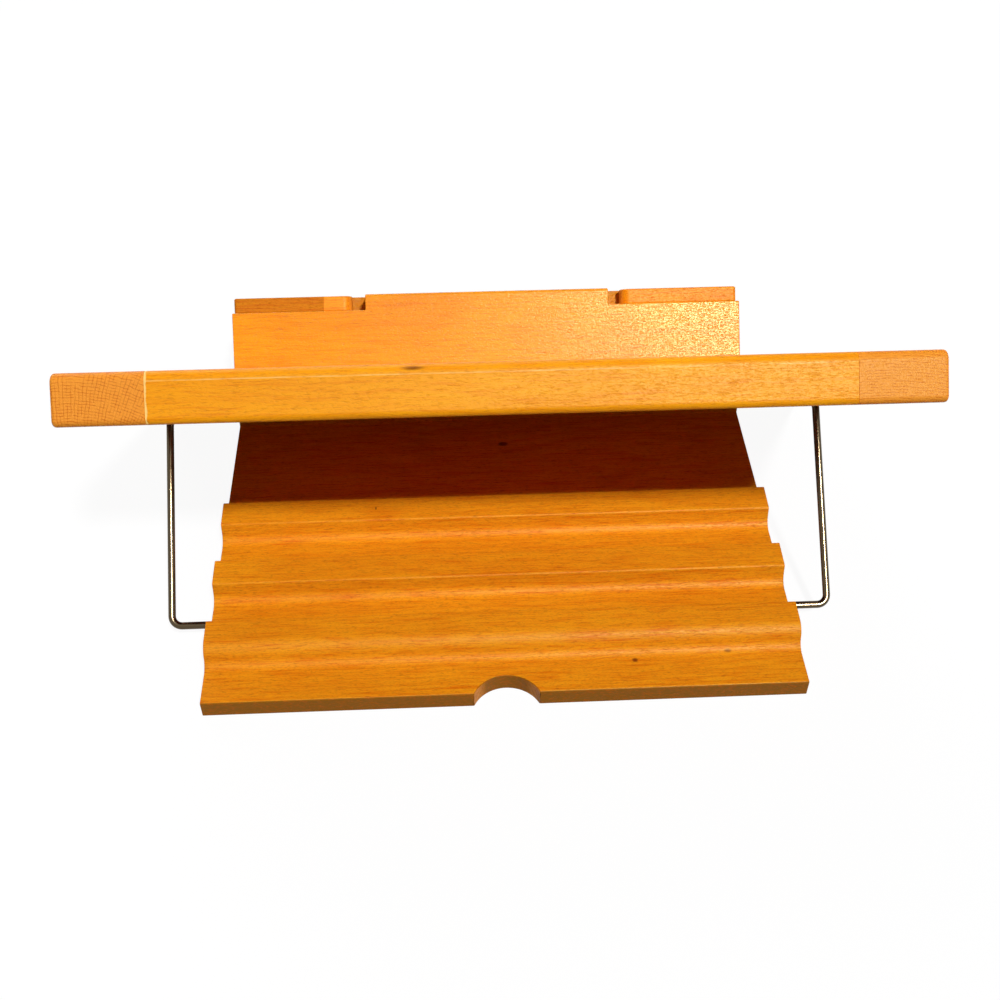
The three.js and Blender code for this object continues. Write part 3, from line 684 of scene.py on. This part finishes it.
class BOOKSTAND_OT_stiles(bpy.types.Operator):
    """The frame's two upright ends, with their end grain showing"""

    bl_idname = "bookstand.stiles"
    bl_label = "Stiles"

    @staticmethod
    def hollows(steel, side, sign, inner, outer, back):
        """What is cut from a stile: the wire's slot, the saddle's seat, the holes."""
        low, high = panel_box("bail_saddle_" + side)
        seat = steel.wire + steel.seat
        foot = BAIL_PIVOT.z
        head = foot + BAIL_ARM
        far, near, mouth = BAIL_HALF + seat, BAIL_HALF - seat, abs(inner) - MM
        wide, tight = steel.bend + seat, steel.bend - seat
        corners = [
            (mouth, foot - seat, 0), (far, foot - seat, seat),
            (far, head + seat, wide), (mouth, head + seat, 0),
            (mouth, head - seat, 0), (near, head - seat, tight),
            (near, foot + seat, tight), (mouth, foot + seat, 0),
        ]
        floor = BAIL_PIVOT.y - seat
        flat = rounded_face(corners, lambda a, b: (sign * a, floor, b), 8)
        slot = drawn(flat, (0, back + MM - floor, 0))
        gap = Vector((steel.seat,) * 3)
        rebate = box(low - gap, high + gap + Vector((0, MM, 0)))
        bores = [rod(steel.pin_hole, (inner - sign * MM, 0, 0), (outer + sign * MM, 0, 0), 48)]
        for end in ("lower", "upper"):
            tip, face = panel_box(f"saddle_screw_{side}_{end}")
            middle = (tip + face) / 2
            deepest = (middle.x, tip.y - steel.seat, middle.z)
            bores.append(rod(STRAP_SCREW[0] + steel.seat, deepest, (middle.x, back, middle.z), 24))
        return slot, rebate, *bores

    def execute(self, context):
        size = context.scene.bookstand_panel
        steel = context.scene.bookstand_steel
        for side, sign in (("left", -1), ("right", 1)):
            low, high = panel_box("stile_" + side)
            inner, outer = sorted((low.x, high.x), key=abs)
            corners = [
                (low.y, low.z, size.front_round), (high.y, low.z, size.heel_round),
                (high.y, high.z, size.back_round), (low.y, high.z, size.front_round),
            ]
            bm = bar_along_x(corners, min(inner, outer), max(inner, outer), steps=8)
            eased(bm, sharp_edges(bm, 40, lambda m: abs(m.x - outer) < TOUCHING), size.side_round, 5)
            eased(bm, sharp_edges(bm, 40, lambda m: abs(m.x - inner) < TOUCHING), size.joint_arris, 1)
            bm = cut(bm, *self.hollows(steel, side, sign, inner, outer, high.y))
            above = BAIL_PIVOT.z - 20 * MM
            rims = sharp_edges(bm, 60, lambda m: m.y > high.y - TOUCHING and m.z > above)
            eased(bm, rims, size.slot_arris, 2)
            wood = beech(
                f"{side} stile beech", PANEL_TURN, PIN, "ZXY", ring=3.2, seed=5.0 + sign,
                pith=(146.0, 50.0) if sign > 0 else (-128.0, 150.0),
                sawn=(1.3, 1.0, 0.6) if sign > 0 else (2.4, 0.95, 0.0),
                # a painted highlight line where the front round starts
                highlight_at=(low.y + size.front_round) / MM, gloss=(0.30, 0.13, 0.3, 0.1),
            )
            finished(bm, f"{side}_stile", wood, "panel", ["stile_" + side], PANEL)
        return {"FINISHED"}


class BOOKSTAND_OT_rails(bpy.types.Operator):
    """The frame's upper and lower rails"""

    bl_idname = "bookstand.rails"
    bl_label = "Rails"

    def execute(self, context):
        size = context.scene.bookstand_panel
        inner = abs(panel_box("stile_right")[0].x) - size.joint
        low, high = panel_box("top_rail")
        corners = [
            (low.y, low.z, size.arris), (high.y, low.z, size.arris),
            (high.y, high.z, size.back_round), (low.y, high.z, size.front_round),
        ]
        bm = bar_along_x(corners, -inner, inner, steps=8)
        wood = beech(
            "upper rail beech", PANEL_TURN, PIN, pith=(-42.0, 250.0), ring=3.6, figure=0.6, seed=11.0,
            stain=(1.05, 1.17, 1.1), knots=[(30.5, -13.0, 190.0, 6.0, 1.4)], glue_at=119.3,
            # a painted highlight line where the front round starts
            highlight_at=(low.y + size.front_round) / MM, gloss=(0.34, 0.14, 0.25, 0.1),
        )
        finished(bm, "upper_rail", wood, "panel", ["top_rail"], PANEL)
        low, high = panel_box("bottom_rail")
        relief, arris = size.relief, size.arris
        corners = [
            (low.y, low.z, size.front_round), (-relief, low.z, arris), (-relief, relief, 0),
            (high.y, relief, arris), (high.y, high.z, arris), (low.y, high.z, arris),
        ]
        bm = bar_along_x(corners, -inner, inner)
        sinks = []
        for i in range(1, 5):
            near, far = panel_box(f"ledge_screw_{i}")
            seat = Vector(((near.x + far.x) / 2, far.y, (near.z + far.z) / 2))
            head = context.scene.bookstand_steel.ledge_screw
            sinks += countersink(head, *LEDGE_SCREW, seat, (0, 1, 0), 4 * MM)
        bm = cut(bm, *sinks)
        wood = beech("lower rail beech", PANEL_TURN, PIN, pith=(30.0, -50.0), ring=3.3, seed=17.0)
        finished(bm, "lower_rail", wood, "panel", ["bottom_rail"], PANEL)
        return {"FINISHED"}


class BOOKSTAND_OT_thin_board(bpy.types.Operator):
    """The thin board between the stiles and the rails"""

    bl_idname = "bookstand.thin_board"
    bl_label = "Thin Board"

    def execute(self, context):
        bm = box(*panel_box("back_board"))
        eased(bm, bm.edges[:], context.scene.bookstand_panel.board_arris, 1)
        wood = beech("thin board beech", PANEL_TURN, PIN, "XZY", pith=(70.0, 140.0), ring=5.0, seed=23.0)
        finished(bm, "thin_board", wood, "panel", ["back_board"], PANEL)
        return {"FINISHED"}


class BOOKSTAND_OT_ledge(bpy.types.Operator):
    """The ledge that the book stands on, with a rebate for each page holder"""

    bl_idname = "bookstand.ledge"
    bl_label = "Ledge"

    def execute(self, context):
        size = context.scene.bookstand_panel
        low, high = panel_box("ledge")
        inner = abs(panel_box("page_holder_right")[0].x) - size.holder_gap
        soft = size.ledge_round
        corners = [
            (low.y, low.z, soft), (high.y, low.z, soft),
            (high.y, high.z, soft), (low.y, high.z, soft),
        ]
        bm = bar_along_x(corners, low.x, high.x)
        floor, over = high.z - size.rebate_drop, 2 * MM
        rebates = [
            box((min(a, b), low.y - over, floor), (max(a, b), low.y + size.rebate, high.z + over))
            for a, b in ((inner, high.x + over), (-inner, low.x - over))
        ]
        bm = cut(bm, *rebates)
        eased(bm, sharp_edges(bm), size.ledge_arris)
        wood = beech(
            "ledge beech", PANEL_TURN, PIN, pith=(-30.0, -80.0), ring=3.9, figure=0.7, seed=31.0,
            # the ledge turns darker low down, at its rebate floors: painted shade
            stain=(0.92, 0.98, 0.7), shade_and_tone=("through", 4.0, 1.0), gloss=(0.22, 0.28, 0.1, 0.5),
        )
        finished(bm, "book_ledge", wood, "panel", ["ledge"], PANEL)
        return {"FINISHED"}


class BOOKSTAND_OT_page_holders(bpy.types.Operator):
    """The bars that turn up over the pages"""

    bl_idname = "bookstand.page_holders"
    bl_label = "Page Holders"

    def execute(self, context):
        size = context.scene.bookstand_panel
        for side, sign in (("left", -1), ("right", 1)):
            low, high = panel_box("page_holder_" + side)
            full = (high.z - low.z) / 2 * 0.999
            left, right = (size.holder_corner, full) if sign < 0 else (full, size.holder_corner)
            corners = [
                (low.x, low.z, left), (high.x, low.z, right),
                (high.x, high.z, right), (low.x, high.z, left),
            ]
            bm = drawn(rounded_face(corners, lambda a, b: (a, low.y, b), 10), (0, high.y - low.y, 0))
            at, far = panel_box("holder_screw_" + side)
            place = Vector(((at.x + far.x) / 2, low.y, (at.z + far.z) / 2))
            head = context.scene.bookstand_steel.holder_screw
            bm = cut(bm, *countersink(head, *HOLDER_SCREW, place, (0, -1, 0), 20 * MM))
            rim = sharp_edges(bm, 40, lambda m: (m - place).xz.length > 1.2 * head)
            eased(bm, rim, size.holder_edge, 4)
            wood = beech(
                f"{side} page holder beech", PANEL_TURN, PIN, pith=(-80.0, -40.0), ring=4.2,
                stain=(0.95, 0.94, 0.7), shade_and_tone=("along", 76.0, 76.4) if sign > 0 else None,
                seed=37.0 + 4 * sign,
            )
            node = "page_holder_" + side
            finished(bm, f"{side}_page_holder", wood, node, [node], PANEL)
        return {"FINISHED"}


class BOOKSTAND_OT_bail(bpy.types.Operator):
    """The wire bail: one wire, bent four times"""

    bl_idname = "bookstand.bail"
    bl_label = "Wire Bail"

    def execute(self, context):
        size = context.scene.bookstand_steel
        pivot = Vector(JOINTS["bail_swing"]["pos_m"])
        down = (BAIL_BAR - pivot).normalized()
        reach = panel_box("bail_saddle_right")[0].x - size.wire_reach
        bm = bmesh.new()
        bmesh.ops.create_circle(bm, cap_ends=False, radius=size.wire, segments=20)
        bmesh.ops.rotate(bm, verts=bm.verts, cent=(0, 0, 0), matrix=Matrix.Rotation(math.pi / 2, 3, "Y"))
        bmesh.ops.translate(bm, verts=bm.verts, vec=pivot + Vector((-reach, 0, 0)))
        ring = bm.edges[:]
        bmesh.ops.edgeloop_fill(bm, edges=ring)

        def straight(edges, by):
            made = bmesh.ops.extrude_edge_only(bm, edges=edges)["geom"]
            bmesh.ops.translate(bm, verts=[g for g in made if isinstance(g, bmesh.types.BMVert)], vec=by)
            return [g for g in made if isinstance(g, bmesh.types.BMEdge)]

        def bent(edges, centre, axis):
            made = bmesh.ops.spin(
                bm, geom=edges, cent=centre, axis=axis, dvec=(0, 0, 0), angle=math.pi / 2, steps=10,
                use_merge=False,
            )["geom_last"]
            return [g for g in made if isinstance(g, bmesh.types.BMEdge)]

        across = Vector((1, 0, 0))
        plane = across.cross(down)
        side, turned_in = across * (BAIL_HALF - size.bend), -across * (BAIL_HALF - size.bend - reach)
        arm, head, foot = down * (BAIL_ARM - 2 * size.bend), down * size.bend, down * (BAIL_ARM - size.bend)
        for by, centre in (
            (turned_in, pivot - side + head), (arm, pivot - side + foot),
            (2 * side, pivot + side + foot), (-arm, pivot + side + head),
        ):
            ring = bent(straight(ring, by), centre, -plane)
        ring = straight(ring, turned_in)
        bmesh.ops.edgeloop_fill(bm, edges=ring)
        bmesh.ops.remove_doubles(bm, verts=bm.verts, dist=MERGE)
        bmesh.ops.recalc_face_normals(bm, faces=bm.faces[:])
        eased(bm, sharp_edges(bm, 60), size.wire_end, 2)
        metal = plated("plated wire", context.scene.bookstand_finish.wire, 0.2, 0.04)
        finished(bm, "wire_bail", metal, "bail", ["bail"])
        return {"FINISHED"}


def screw(head, neck, depth, long):
    """A countersunk screw along -Z with its head's face at 0, cut for a cross-head driver."""
    bm = bmesh.new()
    brim = head * 0.06
    profile = [
        (0, -long), (neck * 0.3, -long), (neck, -long + 2 * neck), (neck, -depth),
        (head, -brim * 1.5), (head, -brim * 0.5), (head - brim, 0), (0, 0),
    ]
    verts = [bm.verts.new((x, 0, z)) for x, z in profile]
    edges = [bm.edges.new(pair) for pair in zip(verts, verts[1:])]
    bmesh.ops.spin(
        bm, geom=verts + edges, cent=(0, 0, 0), axis=(0, 0, 1), dvec=(0, 0, 0), angle=2 * math.pi, steps=40,
        use_merge=True,
    )
    bmesh.ops.remove_doubles(bm, verts=bm.verts, dist=MERGE)
    bmesh.ops.recalc_face_normals(bm, faces=bm.faces[:])
    arm, thin, deep = head * 0.56, head * 0.13, depth * 0.55
    cutters = [box((-arm, -thin, -deep), (arm, thin, deep)), box((-thin, -arm, -deep), (thin, arm, deep))]
    cutters.append(rod(head * 0.12, (0, 0, -deep * 1.3), (0, 0, 0.0001), 24, head * 0.27))
    return cut(bm, *cutters)


def countersink(head, neck, depth, place, out, through):
    """What a countersink bit takes away at place: a taper for the head and a bore behind it."""
    place, out = Vector(place), Vector(out)
    gap = 0.2 * MM
    face = rod(neck + gap, place - out * depth, place + out * TOUCHING, 40, head + gap)
    bore = rod(neck + gap, place - out * through, place - out * depth * 0.9, 32)
    return face, bore


def driven(place, out, turn):
    """A matrix that stands a screw in the panel, its head facing out and its cross turned."""
    facing = Matrix.Translation(place) @ Vector(out).to_track_quat("Z", "Y").to_matrix().to_4x4()
    return PANEL @ facing @ Matrix.Rotation(turn, 4, "Z")


class BOOKSTAND_OT_saddles(bpy.types.Operator):
    """The straps that hold the bail's ends, and their screws"""

    bl_idname = "bookstand.saddles"
    bl_label = "Saddles"

    def execute(self, context):
        size = context.scene.bookstand_steel
        metal = plated("zinc steel", context.scene.bookstand_finish.steel, 0.34, 0.25)
        for side in ("left", "right"):
            low, high = panel_box("bail_saddle_" + side)
            bm = box(low, high)
            upright = [e for e in bm.edges if abs(e.verts[0].co.y - e.verts[1].co.y) > size.strap / 2]
            eased(bm, upright, size.strap_corner, 5)
            seats = []
            for end in ("lower", "upper"):
                node = f"saddle_screw_{side}_{end}"
                near, far = panel_box(node)
                middle = (near + far) / 2
                seats.append((node, Vector((middle.x, far.y, middle.z)), far.y - near.y))
            sinks = []
            for _, at, _ in seats:
                sinks += countersink(size.saddle_screw, *STRAP_SCREW, at, (0, 1, 0), 3 * MM)
            bm = cut(bm, *sinks)
            eased(bm, sharp_edges(bm, 60, lambda m: m.y > high.y - TOUCHING), size.strap_arris, 2)
            finished(bm, f"{side}_saddle", metal, "panel", ["bail_saddle_" + side], PANEL)
            for node, at, long in seats:
                bm = screw(size.saddle_screw, *STRAP_SCREW, long)
                place = driven(at, (0, 1, 0), 0.5 + 40 * at.z)
                name = node.replace("saddle_screw", "strap_screw")
                finished(bm, name, metal, "panel", [node], place)
        return {"FINISHED"}


class BOOKSTAND_OT_fixings(bpy.types.Operator):
    """Hinge pins, dowels and the screws of the ledge and the page holders"""

    bl_idname = "bookstand.fixings"
    bl_label = "Fixings"

    def execute(self, context):
        size = context.scene.bookstand_steel
        metal = plated("bright steel", context.scene.bookstand_finish.steel, 0.28, 0.2)
        for side in ("left", "right"):
            low, high = panel_box("hinge_pin_" + side)
            bm = rod((high.z - low.z) / 2, (low.x, 0, 0), (high.x, 0, 0))
            eased(bm, sharp_edges(bm, 60), size.pin_end, 2)
            finished(bm, f"{side}_hinge_pin", metal, "panel", ["hinge_pin_" + side], PANEL)
            low, high = panel_box("holder_screw_" + side)
            seat = Vector(((low.x + high.x) / 2, low.y, (low.z + high.z) / 2))
            bm = screw(size.holder_screw, *HOLDER_SCREW, high.y - low.y)
            place = driven(seat, (0, -1, 0), 6 * seat.x)
            name = f"{side}_page_holder_screw"
            finished(bm, name, metal, "panel", ["holder_screw_" + side], place)
        for i in range(1, 5):
            low, high = panel_box(f"ledge_screw_{i}")
            seat = Vector(((low.x + high.x) / 2, high.y, (low.z + high.z) / 2))
            bm = screw(size.ledge_screw, *LEDGE_SCREW, high.y - low.y)
            place = driven(seat, (0, 1, 0), 1.3 * i)
            finished(bm, f"ledge_fixing_{i}", metal, "panel", [f"ledge_screw_{i}"], place)
        wood = bare_dowel()
        for name, node in frame["nodes"].items():
            if name.startswith("dowel"):
                node.data.materials.clear()
                node.data.materials.append(wood)
        return {"FINISHED"}


# -------------------- the stage


def white_for_the_camera(finish):
    """1 where a ray comes from the camera or off a polished surface."""
    path = finish.node("LightPath").socket.node.outputs
    seen = sum(Varying(path[f"Is {kind} Ray"]) for kind in ("Camera", "Glossy", "Transmission"))
    return finish.rise(seen, 0.0, 1.0)


class BOOKSTAND_OT_stage(bpy.types.Operator):
    """Floor, background, lamps and the camera"""

    bl_idname = "bookstand.stage"
    bl_label = "Stage"

    def execute(self, context):
        stage = context.scene.bookstand_stage
        scene = context.scene
        scene.view_settings.view_transform = "Standard"

        bm = bmesh.new()
        bmesh.ops.create_grid(bm, x_segments=1, y_segments=1, size=6.0)
        floor = as_object(bm, "floor")
        finish = Finish("pale floor")
        seen = white_for_the_camera(finish)
        tint = finish.blend((0.22, 0.22, 0.22), (0.8, 0.8, 0.8), seen)
        paper = finish.node("BsdfDiffuse", {}, {"Color": tint})
        white = finish.node("Emission", {}, {"Color": (1.0, 1.0, 1.0), "Strength": 1.02})
        mixed = finish.node("MixShader", {}, {0: 0.92 * seen, 1: paper, 2: white})
        finish.node("OutputMaterial", {}, {"Surface": mixed})
        floor.data.materials.append(finish.material)

        world = bpy.data.worlds.new("studio")
        world.use_nodes = True
        scene.world = world
        finish = Finish("studio", world.node_tree)
        seen = white_for_the_camera(finish)
        dim = finish.node("Background", {}, {"Color": (1.0, 1.0, 1.0), "Strength": stage.ambient})
        white = finish.node("Background", {}, {"Color": (1.0, 1.0, 1.0), "Strength": 1.0})
        mixed = finish.node("MixShader", {}, {0: seen, 1: dim, 2: white})
        finish.node("OutputWorld", {}, {"Surface": mixed})

        for name in ("key", "front fill", "sheen"):
            which = name.split()[-1]
            towards = Vector(getattr(stage, "from_" + which))
            lamp = bpy.data.lights.new(name, "SUN")
            lamp.energy = getattr(stage, which)
            lamp.angle = getattr(stage, which + "_spread")
            held = bpy.data.objects.new(name, lamp)
            held.rotation_euler = towards.to_track_quat("Z", "Y").to_euler()
            held.location = towards.normalized() * 2
            if name == "sheen":
                held.visible_diffuse = False
            scene.collection.objects.link(held)

        phi, yaw, roll = stage.depression, stage.heading, stage.roll
        forward = Vector((-math.sin(yaw) * math.cos(phi), -math.cos(yaw) * math.cos(phi), -math.sin(phi)))
        right = Vector((-math.cos(yaw), math.sin(yaw), 0))
        down = forward.cross(right)
        turned = math.cos(roll) * right + math.sin(roll) * down
        up = -(math.cos(roll) * down - math.sin(roll) * right)
        camera = bpy.data.cameras.new("camera")
        camera.lens = stage.lens
        camera.sensor_width = 36.0
        camera.clip_start, camera.clip_end = 0.01, 50.0
        eye = bpy.data.objects.new("camera", camera)
        aimed = Matrix((turned, up, -forward)).transposed().to_4x4()
        eye.matrix_world = Matrix.Translation(Vector(stage.camera)) @ aimed
        scene.collection.objects.link(eye)
        scene.camera = eye
        return {"FINISHED"}


OPERATORS = (
    BOOKSTAND_OT_stage,
    BOOKSTAND_OT_base,
    BOOKSTAND_OT_stiles,
    BOOKSTAND_OT_rails,
    BOOKSTAND_OT_thin_board,
    BOOKSTAND_OT_ledge,
    BOOKSTAND_OT_page_holders,
    BOOKSTAND_OT_bail,
    BOOKSTAND_OT_saddles,
    BOOKSTAND_OT_fixings,
)


class BOOKSTAND_PT_sidebar(bpy.types.Panel):
    """Lists the bookstand's sizes and the pieces that can be made"""

    bl_idname = "BOOKSTAND_PT_sidebar"
    bl_label = "Folding Bookstand"
    bl_space_type = "VIEW_3D"
    bl_region_type = "UI"
    bl_category = "Bookstand"

    def draw(self, context):
        for group in GROUPS:
            column = self.layout.column(align=True)
            column.label(text=group.replace("_", " ").capitalize())
            settings = getattr(context.scene, group)
            for name in settings.__annotations__:
                column.prop(settings, name)
        for operator in OPERATORS:
            self.layout.operator(operator.bl_idname)


CLASSES = (*GROUPS.values(), *OPERATORS, BOOKSTAND_PT_sidebar)


def register():
    """Adds the classes and the settings."""
    for cls in CLASSES:
        bpy.utils.register_class(cls)
    for name, group in GROUPS.items():
        setattr(bpy.types.Scene, name, PointerProperty(type=group))


def unregister():
    """Takes the settings and the classes away."""
    for name in GROUPS:
        delattr(bpy.types.Scene, name)
    for cls in reversed(CLASSES):
        bpy.utils.unregister_class(cls)


def main():
    """Builds the whole stand."""
    register()
    for operator in OPERATORS:
        group, name = operator.bl_idname.split(".")
        getattr(getattr(bpy.ops, group), name)()


if __name__ == "__main__":
    main()
